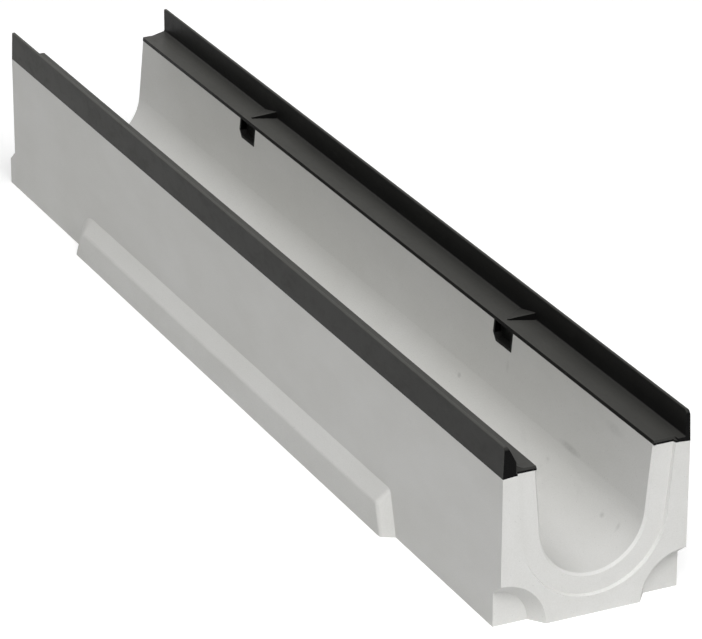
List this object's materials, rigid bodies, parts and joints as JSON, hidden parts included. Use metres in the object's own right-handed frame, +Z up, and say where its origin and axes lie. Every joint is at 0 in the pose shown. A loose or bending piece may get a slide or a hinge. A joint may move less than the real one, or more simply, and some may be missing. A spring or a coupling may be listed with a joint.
{
  "type": "channel drain",
  "caption": "Straight concrete drainage channel with a U-shaped trough, two cast edge rails that seat a grating, side feet and keyed ends.",
  "frame": {"origin": "centre of the bounding box in plan, on the surface that the unit lies on", "axes": "+X along the channel towards the end with the corner recesses, +Y across, +Z up"},
  "size_m": [1.0118, 0.1824, 0.155],
  "materials": {
    "concrete": "matte",
    "coated_iron": "satin"
  },
  "bodies": {
    "root": {"channel_body": "concrete", "left_edge_rail": "coated_iron", "right_edge_rail": "coated_iron"}
  },
  "joints": []
}
